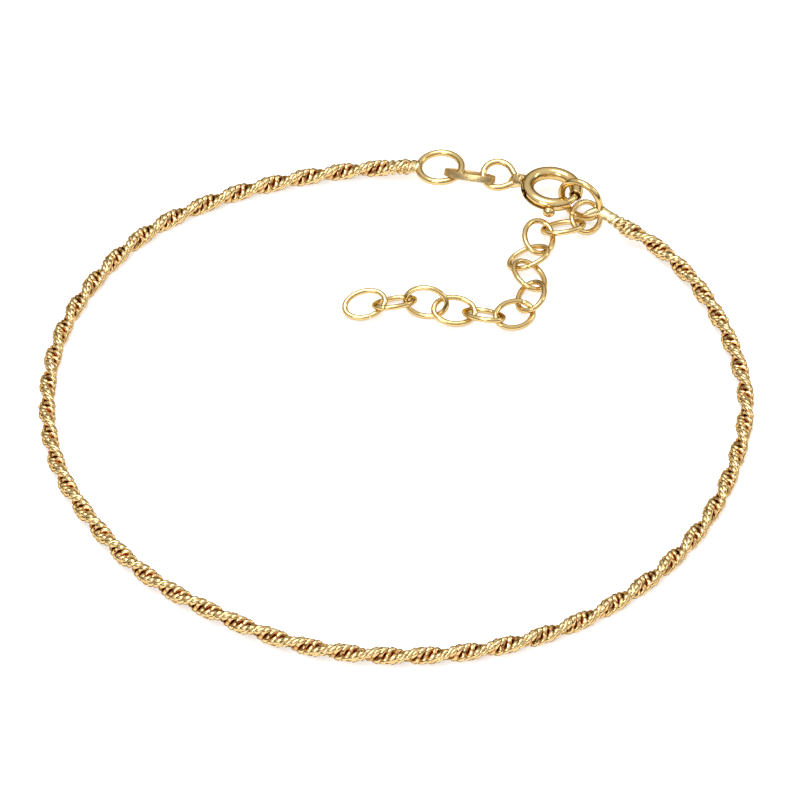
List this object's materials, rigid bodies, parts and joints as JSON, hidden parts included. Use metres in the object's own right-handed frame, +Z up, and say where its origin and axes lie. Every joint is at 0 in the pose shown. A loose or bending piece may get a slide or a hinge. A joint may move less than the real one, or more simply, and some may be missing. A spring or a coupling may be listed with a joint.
{
  "type": "twisted chain bracelet",
  "caption": "Fine twisted curb chain bracelet in yellow gold colour, closed by a spring ring clasp, with a short extension chain of oval links.",
  "frame": {"origin": "centre of the bracelet's bounding box, on the surface that it lies on", "axes": "+Z up from that surface, +Y from the middle of the loop towards the clasp side, +X from the clasp's eye towards its mouth"},
  "size_m": [0.0564, 0.057, 0.004],
  "materials": {
    "gold_polished": "polished",
    "gold_chain": "polished, diamond cut",
    "gold_brushed": "brushed"
  },
  "bodies": {
    "bracelet": {"twist_chain": "gold_chain", "ring_left": "gold_polished", "strap_link": "gold_brushed", "clasp_body": "gold_polished", "ring_right": "gold_polished", "extension_link_01": "gold_polished", "extension_link_02": "gold_polished", "extension_link_03": "gold_polished", "extension_link_04": "gold_polished", "extension_link_05": "gold_polished", "extension_link_06": "gold_polished", "extension_link_07": "gold_polished", "extension_link_08": "gold_polished", "extension_link_09": "gold_polished", "extension_link_10": "gold_polished", "extension_link_11": "gold_polished", "extension_link_12": "gold_polished"},
    "bolt": {"clasp_bolt": "gold_polished"}
  },
  "joints": [
    {"name": "bolt_slide", "type": "hinge", "parent": "bracelet", "child": "bolt", "pos_m": [0.01264, 0.02337, 0.00171], "axis": [-0.087, -0.0523, -0.9948], "range_deg": [0, 50], "stiffness_Nm_per_rad": 0.001, "springref_deg": -28.65}
  ]
}
